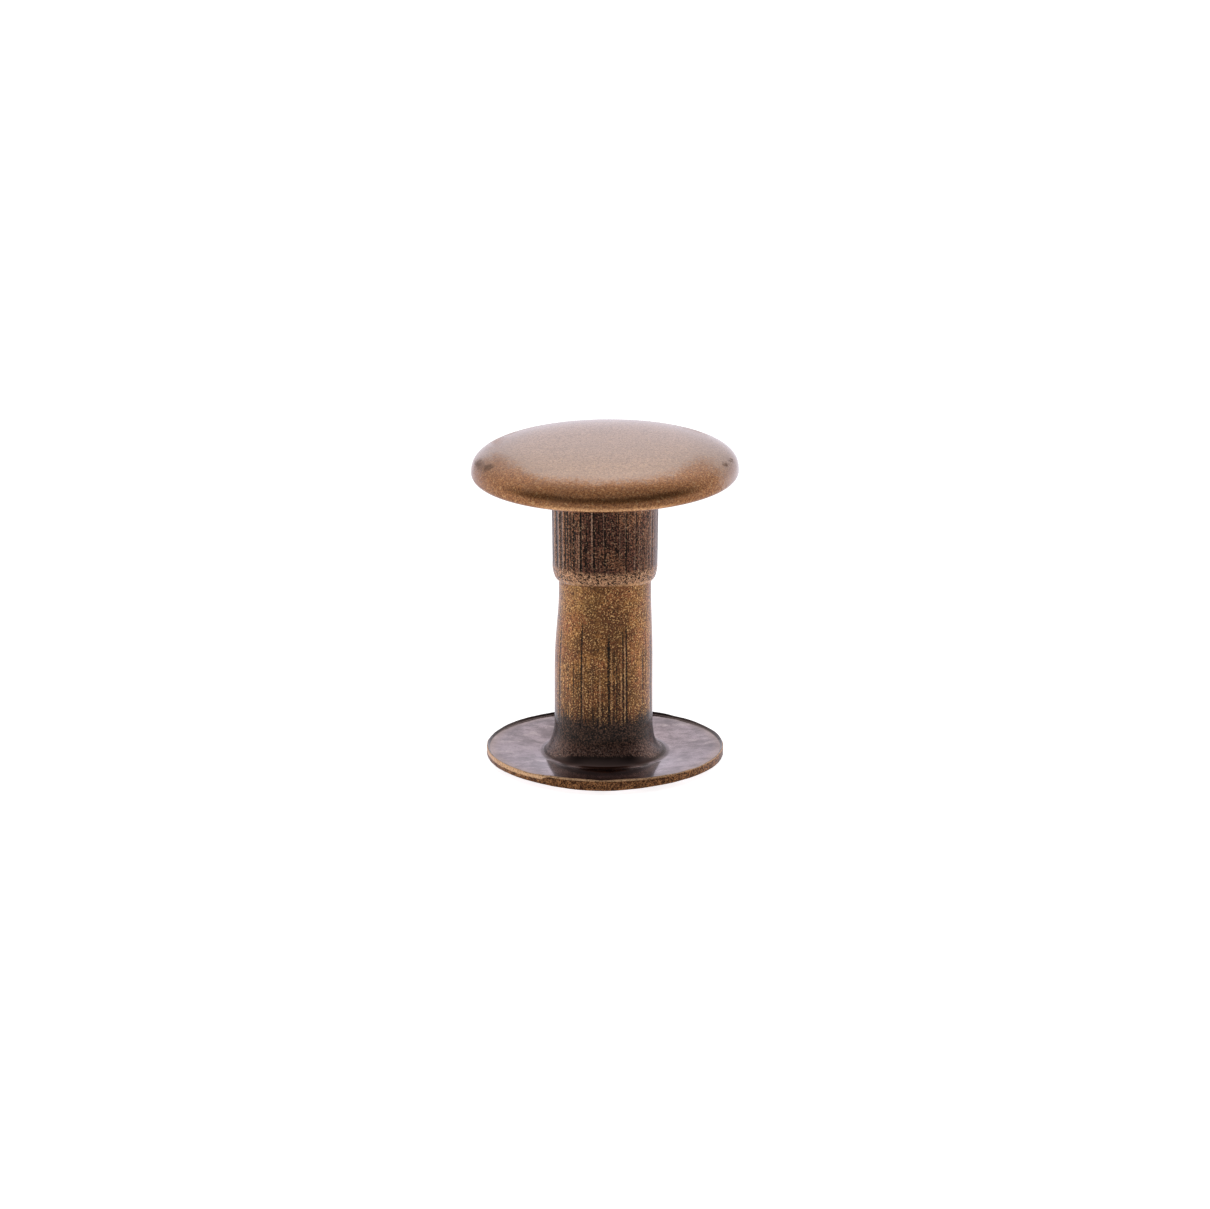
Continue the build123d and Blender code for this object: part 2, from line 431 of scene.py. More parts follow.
# ---- Piece: socket ------------------------------------------------------------------------------
def socket_profile():
    root_center = (SOCKET_ROOT_RADIUS + SOCKET_ROOT_ROUND, HEM_TOP - SOCKET_ROOT_ROUND)
    low = SOCKET_LOW.z
    nose = MOUTH_RADIUS + MOUTH_NOSE
    drop = SOCKET_END_Z - low
    bore_end = SOCKET_END_RADIUS - SOCKET_SHEET
    bore_root = SOCKET_ROOT_RADIUS - SOCKET_SHEET
    inner_low = low + SOCKET_SHEET
    flange_top = HEM_TOP + SOCKET_SHEET

    # the outside: flange, root, wall and rounded shoulder
    wall_end = (SOCKET_END_RADIUS, SOCKET_END_Z)
    shoulder_high = (SOCKET_END_RADIUS, SOCKET_END_Z - drop / 2)
    shoulder_low = ((SOCKET_END_RADIUS + nose) / 2, low)
    points = line((SOCKET_HIGH.x, HEM_TOP), (root_center[0], HEM_TOP), steps=8)
    points += arc(root_center, SOCKET_ROOT_ROUND, 90, 90, steps=10)
    points += line((SOCKET_ROOT_RADIUS, root_center[1]), wall_end, steps=40)
    points += bezier(wall_end, shoulder_high, shoulder_low, (nose, low), steps=24)

    # the inside: lip, mouth, shoulder, bore and the top of the flange
    inner_knee = (bore_end, inner_low + MOUTH_NOSE)
    inner_ease = (bore_end, SOCKET_END_Z - SOCKET_SHEET)
    points += arc((nose, low + MOUTH_NOSE), MOUTH_NOSE, -90, -90, steps=6)
    points += line((MOUTH_RADIUS, low + MOUTH_NOSE), (MOUTH_RADIUS, inner_low), steps=2)
    points += bezier((MOUTH_RADIUS, inner_low), inner_knee, inner_ease, (bore_end, SOCKET_END_Z), steps=6)
    points += line((bore_end, SOCKET_END_Z), (bore_root, root_center[1]), steps=3)
    points += arc(root_center, SOCKET_ROOT_ROUND + SOCKET_SHEET, 180, -90, steps=6)
    points += line((root_center[0], flange_top), (SOCKET_HIGH.x, flange_top), steps=5)
    points.append((SOCKET_HIGH.x, flange_top))
    return points


# angle, half width, depth, low end, high end: the deep scores in front
SOCKET_SCORES = (
    (-168.0, 1.6, 0.8, 6.6, 10.2),
    (-161.5, 1.4, -0.9, 6.6, 10.2),
    (-154.5, 1.4, 0.9, 6.6, 10.2),
    (-150.0, 1.1, -0.9, 6.6, 10.2),
    (-145.9, 1.1, 0.8, 6.6, 10.2),
    (-142.4, 1.0, -0.8, 6.6, 10.2),
    (-138.9, 0.9, 0.7, 6.6, 10.2),
    (-136.5, 0.7, -0.4, 6.6, 9.3),
    (-134.2, 0.8, 0.6, 6.6, 10.2),
    (-132.0, 0.7, -0.5, 6.9, 10.2),
    (-129.9, 0.7, 0.6, 6.6, 10.2),
    (-125.8, 0.8, 0.7, 6.6, 10.2),
    (-122.0, 0.6, -0.4, 6.6, 9.0),
    (-119.2, 0.6, -0.9, 6.7, 8.6),
    (-117.0, 1.0, 1.1, 6.6, 9.6),
    (-104.2, 0.7, -0.9, 6.8, 10.0),
    (-101.8, 0.7, 1.2, 6.6, 10.2),
    (-96.0, 0.6, -0.4, 6.6, 7.9),
    (-93.5, 0.5, 0.5, 6.7, 8.1),
    (-74.0, 0.6, -0.5, 7.2, 8.6),
    (-63.7, 0.7, 0.6, 7.5, 8.6),
    (-52.0, 0.7, 0.4, 7.3, 9.4),
    (-31.0, 1.2, -0.5, 6.8, 10.0),
)
SOCKET_LINES = scatter_lines(23, 190, (6.6, 10.2), SOCKET_SCORES)


def socket_shape(radius, z, angle):
    """The cap's slant near the flange, the short mouth, scores on the wall and a grainy end."""
    up = CAP_SLANT * radius * math.cos(math.radians(angle)) * smooth(9.6, HEM_TOP, z)
    up += MOUTH_LIFT * bell_at(angle, FRONT, 55) * (1 - smooth(SOCKET_LOW.z, 8.4, z))
    if radius < SOCKET_END_RADIUS - 0.13 or radius > SOCKET_ROOT_RADIUS + 0.02:
        return 0.0, up, 0.0, 0.0
    ragged = 0.05 * wave(radius, z, angle, 0.25, 15)
    grain = 1 - smooth(SOCKET_END_Z, SOCKET_END_Z + 0.14, z + ragged)
    depth = line_depth(SOCKET_LINES, angle, z) * (1 - 0.8 * grain)
    out = -SOCKET_SCORE_DEPTH * depth + 0.014 * grain * wave(radius, z + 0.02 * angle, angle, 0.09, 4)
    return out + 0.003 * wave(radius, z, angle, 0.8, 2), up, depth, grain


# ---- Materials ----------------------------------------------------------------------------------
class Graph:
    """Short names for the shader nodes of one material. Places are in millimetres."""

    def __init__(self, name):
        self.material = bpy.data.materials.new(name)
        self.material.use_nodes = True
        self.tree = self.material.node_tree
        self.tree.nodes.clear()
        self.output = self.tree.nodes.new("ShaderNodeOutputMaterial")
        self.shader = self.tree.nodes.new("ShaderNodeBsdfPrincipled")
        self.tree.links.new(self.shader.outputs[0], self.output.inputs[0])
        coordinates = self.tree.nodes.new("ShaderNodeTexCoord")
        self.place = self.vector("SCALE", coordinates.outputs["Object"], scale=1 / MM)
        self.radius = self.vector("LENGTH", self.vector("MULTIPLY", self.place, (1, 1, 0)))
        split = self.tree.nodes.new("ShaderNodeSeparateXYZ")
        self.link(self.place, split.inputs[0])
        self.across = split.outputs["X"]
        self.deep = split.outputs["Y"]
        self.height = split.outputs["Z"]

    def link(self, value, socket):
        if isinstance(value, bpy.types.NodeSocket):
            self.tree.links.new(value, socket)
        else:
            socket.default_value = value

    def vector(self, operation, a, b=None, scale=None):
        node = self.tree.nodes.new("ShaderNodeVectorMath")
        node.operation = operation
        self.link(a, node.inputs[0])
        if b is not None:
            self.link(b, node.inputs[1])
        if scale is not None:
            self.link(scale, node.inputs["Scale"])
        return node.outputs["Value" if operation == "LENGTH" else "Vector"]

    def math(self, operation, a, b=0.0):
        node = self.tree.nodes.new("ShaderNodeMath")
        node.operation = operation
        self.link(a, node.inputs[0])
        self.link(b, node.inputs[1])
        return node.outputs[0]

    def plus(self, a, b):
        return self.math("ADD", a, b)

    def minus(self, a, b):
        return self.math("SUBTRACT", a, b)

    def times(self, a, b):
        return self.math("MULTIPLY", a, b)

    def either(self, a, b):
        return self.math("MAXIMUM", a, b)

    def sway(self, texture, width):
        """A 0 to 1 texture moved to swing around 0, width from end to end."""
        return self.times(self.minus(texture, 0.5), width)

    def attribute(self, name):
        node = self.tree.nodes.new("ShaderNodeAttribute")
        node.attribute_name = name
        return node.outputs["Fac"]

    def step(self, value, low, high, out_low=0.0, out_high=1.0):
        """out_low where value is low, out_high where it is high, and an even S between them."""
        node = self.tree.nodes.new("ShaderNodeMapRange")
        node.interpolation_type = "SMOOTHSTEP"
        sockets = ("Value", "From Min", "From Max", "To Min", "To Max")
        for socket, given in zip(sockets, (value, low, high, out_low, out_high), strict=True):
            self.link(given, node.inputs[socket])
        return node.outputs[0]

    def noise(self, per_mm, detail=3.0, roughness=0.55, stretch=(1, 1, 1), offset=(0, 0, 0), curl=0.0):
        """Noise from 0 to 1 with about per_mm waves in a millimetre, stretched by axis and curled."""
        node = self.tree.nodes.new("ShaderNodeTexNoise")
        place = self.vector("ADD", self.vector("MULTIPLY", self.place, stretch), offset)
        self.link(place, node.inputs["Vector"])
        given = {"Scale": per_mm, "Detail": detail, "Roughness": roughness, "Distortion": curl}
        for name, value in given.items():
            node.inputs[name].default_value = value
        return node.outputs["Fac"]

    def mix(self, share, a, b):
        """Colour a where share is 0, colour b where it is 1."""
        node = self.tree.nodes.new("ShaderNodeMix")
        node.data_type = "RGBA"
        self.link(share, node.inputs[0])
        for value, socket in ((a, node.inputs[6]), (b, node.inputs[7])):
            self.link(value if isinstance(value, bpy.types.NodeSocket) else (*value, 1), socket)
        return node.outputs[2]

    def mix_normals(self, share, a, b):
        node = self.tree.nodes.new("ShaderNodeMix")
        node.data_type = "VECTOR"
        self.link(share, node.inputs[0])
        self.link(a, node.inputs[4])
        self.link(b, node.inputs[5])
        return node.outputs[1]

    def bump(self, height, depth_mm, normal=None):
        node = self.tree.nodes.new("ShaderNodeBump")
        node.inputs["Strength"].default_value = 1.0
        node.inputs["Distance"].default_value = depth_mm * MM
        self.link(height, node.inputs["Height"])
        if normal is not None:
            self.link(normal, node.inputs["Normal"])
        return node.outputs[0]

    def finish(self, color, roughness, normal, coat, coat_roughness, coat_ior, metallic=1.0):
        """The low specular level keeps a crust dull; bare metal doesn't use it."""
        given = {
            "Base Color": color,
            "Metallic": metallic,
            "Roughness": roughness,
            "Specular IOR Level": 0.1,
            "Normal": normal,
            "Coat Weight": coat,
            "Coat Roughness": coat_roughness,
            "Coat IOR": coat_ior,
        }
        for name, value in given.items():
            self.link(value, self.shader.inputs[name])
        return self.material


# ---- Material: cap ------------------------------------------------------------------------------
EDGE_DARK, EDGE_LIGHT = (0.18, 0.062, 0.020), (0.54, 0.235, 0.088)
FILM_DARK, FILM_LIGHT = (0.30, 0.150, 0.080), (0.59, 0.335, 0.205)
FILM_PAINTED_SHADE = (0.24, 0.115, 0.062)
EDGE_MOTTLE = (0.13, 0.044, 0.015)
CAP_PAINTED_GLINT = (0.86, 0.54, 0.27)
CAP_TARNISH = (0.160, 0.070, 0.028)
WORN_DARK, WORN_LIGHT = (0.44, 0.20, 0.085), (1.0, 0.56, 0.27)


def film_and_highlight_on_crown(g, coarse):
    """1 on the pale film of the crown, 0 on the brown edge, with a ragged border between them. The pale
    film is partly a painted highlight: it is widened at the left and right edges, and held back on the
    front sides as painted shade.
    """
    blotch = g.noise(1.6, 3.0, 0.6, offset=(4, 1, 0))
    # painted shade: the pale film is held back on the front sides, leaving them brown
    sides = g.step(g.math("ABSOLUTE", g.across), 2.0, 3.0, 0.0, 0.25)
    reach = g.plus(g.radius, g.times(blotch, 0.6))
    reach = g.plus(reach, g.times(sides, g.step(g.deep, 0.0, -1.2)))
    # painted highlight: the pale film reaches further out at the left and right edges
    reach = g.minus(reach, g.step(g.across, -3.5, -4.3, 0.0, 0.75))
    reach = g.minus(reach, g.step(g.across, 3.1, 4.4, 0.0, 1.35))
    reach = g.plus(reach, g.sway(coarse, 1.1))
    return g.step(reach, 3.6, 4.5, 1.0, 0.0)


def cap_material():
    """Satin brass: a pale, coated film on the crown that is partly a painted highlight, with painted shade
    towards its edge and painted glints, grainy brown on the edge, worn gold below it.
    """
    g = Graph("antique_brass_cap")
    grain = g.noise(20.0, 2.0, 0.7)
    coarse = g.noise(9.0, 2.0, 0.6, offset=(3, 0, 1))
    painted_glint = g.noise(12.0, 1.0, 0.5, offset=(6, 2, 9))
    brushed = g.noise(1.8, 3.0, 0.6, (0.45, 1, 1), (2, 9, 4))
    # on the cap this attribute holds only the tarnished spots
    mark_and_shade = g.attribute("mark_and_shade")
    crown = film_and_highlight_on_crown(g, coarse)
    speck = g.plus(g.times(grain, 0.65), g.times(coarse, 0.35))
    light_share = g.step(speck, 0.37, 0.62)
    color = g.mix(light_share, g.mix(crown, EDGE_DARK, FILM_DARK), g.mix(crown, EDGE_LIGHT, FILM_LIGHT))
    mottled = g.times(g.step(coarse, 0.48, 0.64, 0.0, 0.5), g.minus(1.0, crown))
    color = g.mix(mottled, color, EDGE_MOTTLE)
    # painted glints: sparse bright golden specks
    color = g.mix(g.step(painted_glint, 0.58, 0.72, 0.0, 0.35), color, CAP_PAINTED_GLINT)
    color = g.mix(g.step(brushed, 0.50, 0.66, 0.0, 0.3), color, FILM_DARK)
    # painted shade: the pale film darkens towards its edge
    color = g.mix(g.times(crown, g.step(g.radius, 2.5, 3.6, 0.0, 0.35)), color, FILM_PAINTED_SHADE)
    smudge = g.plus(mark_and_shade, g.times(g.minus(0.5, coarse), 2.4))
    smudge = g.times(g.step(smudge, 0.15, 0.90, 0.0, 0.8), g.step(mark_and_shade, 0.02, 0.40))
    color = g.mix(smudge, color, CAP_TARNISH)
    low_edge = g.step(g.height, EQUATOR_Z + 0.06, EQUATOR_Z - 0.08, 0.0, 0.9)
    worn = g.times(low_edge, g.step(g.deep, -3.6, -4.35))
    color = g.mix(worn, color, g.mix(light_share, WORN_DARK, WORN_LIGHT))
    roughness = g.step(grain, 0.3, 0.7, 0.40, 0.30)
    clean = g.minus(1.0, smudge)
    coat = g.times(g.step(crown, 0.0, 1.0, 0.3, 1.0), clean)
    return g.finish(color, roughness, g.bump(speck, 0.003), coat, 0.15, 1.7, clean)


# ---- Material: socket ---------------------------------------------------------------------------
PLUM_DARK, PLUM_LIGHT = (0.010, 0.003, 0.002), (0.20, 0.078, 0.049)
BROWN_DARK, BROWN_LIGHT = (0.016, 0.005, 0.003), (0.36, 0.155, 0.080)
STREAK_DARK, STREAK_LIGHT = (0.010, 0.004, 0.003), (0.26, 0.145, 0.10)
SOCKET_RIDGE = (0.54, 0.34, 0.24)
SOCKET_GROOVE = (0.005, 0.003, 0.002)
WRINKLE_DARK, WRINKLE_LIGHT = (0.007, 0.003, 0.002), (0.66, 0.35, 0.20)
SOCKET_PAINTED_GLINT = (0.95, 0.60, 0.36)
LIP_PAINTED_HIGHLIGHT = (0.64, 0.34, 0.15)


def socket_material():
    """Dark drawn brass: plum and brown in patches, streaked and scored, with a curled, grainy end, painted
    glints on it, and a painted highlight along the lip.
    """
    g = Graph("antique_brass_socket")
    grain = g.noise(20.0, 2.0, 0.7)
    painted_glint = g.noise(15.0, 1.0, 0.5, offset=(7, 2, 5))
    patch = g.noise(0.9, 3.0, 0.6, offset=(2, 5, 1))
    streak = g.noise(9.0, 2.0, 0.6, (1, 1, 0.03))
    wrinkle = g.noise(13.5, 1.5, 0.6, offset=(1, 8, 2), curl=1.8)
    groove = g.attribute("groove")
    shoulder = g.attribute("mark_and_shade")

    # the drawn wall
    fine = g.step(grain, 0.43, 0.61)
    brownness = g.plus(patch, g.times(g.across, 0.05))
    brownness = g.plus(brownness, g.step(g.across, -0.6, -1.2, 0.0, 0.30))
    plum = g.mix(fine, PLUM_DARK, PLUM_LIGHT)
    color = g.mix(g.step(brownness, 0.45, 0.68), plum, g.mix(fine, BROWN_DARK, BROWN_LIGHT))
    color = g.mix(g.step(streak, 0.55, 0.72, 0.0, 0.35), color, STREAK_LIGHT)
    color = g.mix(g.step(streak, 0.45, 0.30, 0.0, 0.45), color, STREAK_DARK)
    ridge = g.times(g.step(groove, -0.1, -0.55), g.step(grain, 0.38, 0.60, 0.25, 0.95))
    color = g.mix(g.times(ridge, 0.85), color, SOCKET_RIDGE)
    color = g.mix(g.step(groove, 0.08, 0.55, 0.0, 0.97), color, SOCKET_GROOVE)

    # the curled end, its painted glints, and a painted highlight along its lip
    color = g.mix(shoulder, color, g.mix(g.step(wrinkle, 0.44, 0.57), WRINKLE_DARK, WRINKLE_LIGHT))
    # painted glints: golden specks on the curled end
    golden = g.times(g.step(painted_glint, 0.60, 0.72), g.step(shoulder, 0.0, 1.0, 0.3, 0.6))
    color = g.mix(golden, color, SOCKET_PAINTED_GLINT)
    # painted highlight: a golden line along the lip
    lip_z = g.plus(g.height, g.sway(wrinkle, 0.16))
    lip_z = g.minus(lip_z, g.step(g.deep, -0.3, -1.5, 0.0, MOUTH_LIFT))
    lip_highlight = g.step(lip_z, SOCKET_LOW.z + 0.12, SOCKET_LOW.z + 0.04, 0.0, 0.75)
    color = g.mix(g.times(lip_highlight, g.step(patch, 0.42, 0.58, 0.35, 1.0)), color, LIP_PAINTED_HIGHLIGHT)

    roughness = g.step(grain, 0.3, 0.7, 0.42, 0.32)
    normal = g.bump(streak, 0.004, g.bump(grain, 0.004))
    return g.finish(color, roughness, normal, 0.6, 0.3, 1.25)


# ---- Material: post -----------------------------------------------------------------------------
SHANK_DARK, SHANK_RED, SHANK_YELLOW = (0.070, 0.020, 0.006), (0.50, 0.185, 0.070), (0.54, 0.240, 0.075)
SHANK_PAINTED_SHADE, SHANK_PAINTED_SHADE_LOW = (0.085, 0.034, 0.012), (0.085, 0.034, 0.014)
SHANK_STREAK = (0.07, 0.028, 0.016)
SHANK_PAINTED_GLINT_PATCH = (0.78, 0.44, 0.15)
SHANK_PAINTED_GLINT = (1.0, 0.59, 0.25)
SHANK_RIDGE = (0.72, 0.43, 0.23)
SHANK_GROOVE = (0.008, 0.004, 0.003)
ROOT_DARK, ROOT_LIGHT = (0.010, 0.005, 0.004), (0.20, 0.105, 0.07)
FLARE_DARK, FLARE_LIGHT, FLARE_PAINTED_GLINT = (0.032, 0.014, 0.011), (0.27, 0.150, 0.115), (0.55, 0.42, 0.36)
FLARE_POLISHED_SHADE = (0.045, 0.026, 0.023)
CREASE_PAINTED_SHADE = (0.030, 0.018, 0.016)
CREASE_FRONT_SHADE, CREASE_FRONT_SHADE_LOW = (0.08, 0.052, 0.048), (0.50, 0.34, 0.32)
CONTOUR_PAINTED_SHADE = (0.014, 0.008, 0.008)
FOOT_DARK, FOOT_LIGHT = (0.20, 0.125, 0.150), (0.47, 0.345, 0.390)
WISP_DARK, WISP_LIGHT = (0.12, 0.070, 0.080), (0.68, 0.53, 0.54)
FOOT_SPECK = (0.04, 0.02, 0.022)
FOOT_NEAR_RIM = (0.50, 0.32, 0.25)
FOOT_CREASE_SHADE = (0.08, 0.050, 0.050)
RIM_LINE = (0.016, 0.010, 0.009)
SHEARED_DARK, SHEARED_LIGHT = (0.024, 0.008, 0.004), (0.44, 0.20, 0.085)
SHEARED_BLOTCH = (0.06, 0.022, 0.012)
BURR_GOLD_AND_HIGHLIGHT = (0.80, 0.50, 0.29)


def shank_color(g, grain, squiggle, texture, painted_glint, streak):
    """Fine golden grain over brown, redder or yellower in patches, scored along the axis, with painted
    glints, and painted shade in front, under the socket and towards the foot.
    """
    patch = g.noise(1.3, 3.0, 0.6, offset=(0, 3, 2))
    hue = g.noise(1.7, 2.0, 0.5, offset=(9, 3, 2))
    groove = g.attribute("groove")
    light = g.mix(g.step(hue, 0.38, 0.62), SHANK_RED, SHANK_YELLOW)
    color = g.mix(g.step(texture, 0.39, 0.59), SHANK_DARK, light)
    # dark patches, and painted shade on the front of the shank
    patch_and_front_shade = g.plus(patch, g.step(g.deep, -1.0, -1.6, 0.0, 0.14))
    color = g.mix(g.step(patch_and_front_shade, 0.48, 0.74, 0.0, 0.6), color, SHANK_PAINTED_SHADE)
    # painted glints: a golden patch high on the left
    above_left = g.times(g.step(g.across, -0.1, -0.6), g.step(g.height, 5.2, 5.7))
    color = g.mix(g.times(above_left, g.step(squiggle, 0.46, 0.64, 0.0, 0.4)), color, SHANK_PAINTED_GLINT_PATCH)
    # painted shade: darker towards the foot and under the socket
    color = g.mix(g.step(g.height, 3.4, 2.2, 0.0, 0.35), color, SHANK_PAINTED_SHADE_LOW)
    color = g.mix(g.step(g.height, 5.0, 5.8, 0.0, 0.18), color, SHANK_PAINTED_SHADE)
    drawn = g.step(g.height, 4.8, 3.6)
    color = g.mix(g.times(drawn, g.step(streak, 0.45, 0.7, 0.0, 0.5)), color, SHANK_STREAK)
    # painted glints: bright golden specks
    color = g.mix(g.step(painted_glint, 0.56, 0.68, 0.0, 0.85), color, SHANK_PAINTED_GLINT)
    ridge = g.times(g.step(groove, -0.1, -0.6), g.step(grain, 0.40, 0.60, 0.2, 0.8))
    color = g.mix(ridge, color, SHANK_RIDGE)
    black = g.times(g.step(groove, 0.1, 0.8, 0.0, 0.95), g.step(grain, 0.66, 0.54, 0.35, 1.0))
    return g.mix(black, color, SHANK_GROOVE)


def root_and_flare_color(g, shank, grain, texture, painted_glint, streak):
    """The dark root of the shank with a ragged top, and the grainy flare under it with painted glints."""
    root = g.mix(g.step(grain, 0.42, 0.68), ROOT_DARK, ROOT_LIGHT)
    ragged = g.plus(g.plus(g.height, g.sway(streak, 0.9)), g.sway(texture, 1.2))
    color = g.mix(g.step(ragged, 1.65, 2.10), root, shank)
    flare = g.mix(g.step(grain, 0.38, 0.64), FLARE_DARK, FLARE_LIGHT)
    # painted glints on the flare
    flare = g.mix(g.step(painted_glint, 0.60, 0.70, 0.0, 0.5), flare, FLARE_PAINTED_GLINT)
    return g.mix(g.step(g.height, 1.15, 0.75), color, flare)


def crease_color(g, color, polished_shaded_end, low_crease, contour_shade):
    """Painted shade: the black crease, a lighter stretch of it in front, and dark lines down the flare's
    sides.
    """
    # painted shade: the crease darkened where the flare meets the foot
    crease = g.times(low_crease, g.minus(1.0, polished_shaded_end))
    color = g.mix(g.times(crease, 0.8), color, CREASE_PAINTED_SHADE)
    # painted shade in front of the crease, lighter than the black, and lightest at its foot
    front_crease_shade = g.times(g.step(g.height, 0.42, 0.34), g.step(g.deep, -1.65, -1.85))
    front = g.mix(g.step(g.height, 0.315, 0.285), CREASE_FRONT_SHADE, CREASE_FRONT_SHADE_LOW)
    color = g.mix(front_crease_shade, color, front)
    return g.mix(g.times(contour_shade, 0.85), color, CONTOUR_PAINTED_SHADE)


def foot_color(g, grain, cloud):
    """Polished grey with soft clouds and wisps, warmer near the rim, and dark around the flare as painted
    shade.
    """
    wisp = g.noise(2.4, 4.0, 0.7, (0.6, 1, 1), (8, 2, 0), 0.3)
    color = g.mix(g.step(cloud, 0.36, 0.62), FOOT_DARK, FOOT_LIGHT)
    color = g.mix(g.step(wisp, 0.34, 0.50, 0.65, 0.0), color, WISP_DARK)
    color = g.mix(g.step(wisp, 0.52, 0.68, 0.0, 0.6), color, WISP_LIGHT)
    color = g.mix(g.step(grain, 0.35, 0.60, 0.3, 0.0), color, FOOT_SPECK)
    near_rim = g.plus(g.radius, g.times(cloud, 0.5))
    color = g.mix(g.step(near_rim, 3.75, 4.25, 0.0, 0.5), color, FOOT_NEAR_RIM)
    # painted shade on the foot all round the flare
    near_crease = g.step(g.radius, FLARE_RADIUS + 0.14, FLARE_RADIUS + 0.06, 0.0, 0.6)
    return g.mix(near_crease, color, FOOT_CREASE_SHADE)


def sheared_color(g, grain):
    """The foot's sheared edge: blotched brown, with a golden burr along its top that is partly a painted
    highlight.
    """
    blotched = g.noise(4.0, 2.0, 0.5, offset=(3, 3, 8))
    color = g.mix(g.step(grain, 0.38, 0.64), SHEARED_DARK, SHEARED_LIGHT)
    color = g.mix(g.step(blotched, 0.45, 0.65, 0.0, 0.6), color, SHEARED_BLOTCH)
    # golden burr, partly a painted highlight, reaching lower down the edge on the left
    burr_low = g.step(g.across, -2.2, -1.9, RIM_TOP - 0.10, RIM_TOP + 0.025)
    above_burr = g.step(g.minus(g.height, burr_low), 0.0, 0.05)
    return g.mix(g.times(above_burr, g.step(grain, 0.30, 0.55, 0.35, 0.95)), color, BURR_GOLD_AND_HIGHLIGHT)


def post_material():
    """Golden brown shank, dark root, grainy flare, and a polished foot with a sheared edge, with painted
    shade in the crease, around the flare and down its sides.
    """
    g = Graph("antique_brass_post")
    grain = g.noise(19.0, 2.0, 0.7)
    squiggle = g.noise(10.0, 2.0, 0.6, offset=(2, 6, 4), curl=1.5)
    texture = g.plus(g.times(grain, 0.62), g.times(squiggle, 0.38))
    painted_glint = g.noise(21.0, 1.0, 0.5, offset=(5, 1, 3))
    streak = g.noise(9.0, 2.0, 0.6, (1, 1, 0.04))
    cloud = g.noise(0.9, 4.0, 0.62, offset=(1, 7, 0))
    # painted shade down the flare's sides
    contour_shade = g.attribute("mark_and_shade")

    # where each finish and each painted shade lies
    # the flare's colours and their painted shade reach further out over the foot in front
    ragged_radius = g.plus(g.step(g.deep, -1.3, -1.9, 0.0, 0.15), g.times(grain, 0.08))
    on_foot_top = g.step(g.minus(g.radius, ragged_radius), FLARE_RADIUS - 0.09, FLARE_RADIUS)
    on_edge = g.step(g.radius, FOOT_RADIUS - 0.03, FOOT_RADIUS - 0.01)
    on_rim_line = g.times(g.step(g.radius, 3.88, 3.925), g.step(g.radius, 3.985, 3.965))
    # the polished lower end of the flare, reaching higher in front, where its dark colour is painted shade
    smooth_z = g.minus(g.plus(g.height, g.sway(grain, 0.2)), g.step(g.deep, -0.7, -1.85, 0.30, 0.64))
    polished_shaded_end = g.step(smooth_z, 0.06, -0.05)
    low_crease = g.step(g.height, 0.42, 0.32)

    color = shank_color(g, grain, squiggle, texture, painted_glint, streak)
    color = root_and_flare_color(g, color, grain, texture, painted_glint, streak)
    # polished lower flare, coloured dark as painted shade
    color = g.mix(polished_shaded_end, color, FLARE_POLISHED_SHADE)
    color = crease_color(g, color, polished_shaded_end, low_crease, contour_shade)
    color = g.mix(on_foot_top, color, foot_color(g, grain, cloud))
    color = g.mix(g.times(on_rim_line, 0.9), color, RIM_LINE)
    color = g.mix(on_edge, color, sheared_color(g, grain))

    # polished and coated on the foot and the flare's lower front, bare in the crease and on the edge
    polish = g.times(g.either(on_foot_top, polished_shaded_end), g.minus(1.0, on_edge))
    roughness = g.step(polish, 0.0, 1.0, 0.46, 0.13)
    normal = g.mix_normals(polish, g.bump(grain, 0.004), g.bump(cloud, 0.010))
    sharp = g.times(low_crease, g.step(g.radius, FLARE_RADIUS + 0.12, FLARE_RADIUS + 0.04))
    bare = g.either(g.either(sharp, contour_shade), g.times(on_edge, 0.8))
    coat = g.times(g.step(polish, 0.0, 1.0, 0.7, 0.6), g.minus(1.0, bare))
    return g.finish(color, roughness, normal, coat, 0.15, 1.3)


# ---- Build --------------------------------------------------------------------------------------
POST_SEGMENTS, CAP_SEGMENTS, SOCKET_SEGMENTS = 480, 420, 540  # faces round each piece


def build_piece(name, body, node, profile, segments, shape, material):
    piece = turned(name, profile, segments, shape)
    piece.data.materials.append(material)
    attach(piece, body)
    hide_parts(node)
    return piece


build_piece(
    "post_body", "post", "post",
    post_profile(), POST_SEGMENTS, post_shape, post_material(),
)
build_piece(
    "cap_dome", "cap_half", "cap_shell",
    cap_profile(), CAP_SEGMENTS, cap_shape, cap_material(),
)
build_piece(
    "socket_tube", "cap_half", "socket",
    socket_profile(), SOCKET_SEGMENTS, socket_shape, socket_material(),
)


# ---- Stage --------------------------------------------------------------------------------------
FLOOR_SIDE = 4.0
FLOOR_Z = -0.01 * MM


def make_floor():
    mesh = bpy.data.meshes.new("floor")
    corners = [(x * FLOOR_SIDE, y * FLOOR_SIDE, FLOOR_Z) for x, y in ((-1, -1), (1, -1), (1, 1), (-1, 1))]
    mesh.from_pydata(corners, [], [(0, 1, 2, 3)])
    floor = bpy.data.objects.new("floor", mesh)
    bpy.context.scene.collection.objects.link(floor)
    material = bpy.data.materials.new("pale_floor")
    material.use_nodes = True
    shader = material.node_tree.nodes["Principled BSDF"]
    shader.inputs["Base Color"].default_value = (0.9, 0.9, 0.9, 1)
    shader.inputs["Roughness"].default_value = 0.9
    shader.inputs["Emission Color"].default_value = (1, 1, 1, 1)
    shader.inputs["Emission Strength"].default_value = 0.8
    mesh.materials.append(material)
    floor.visible_glossy = False


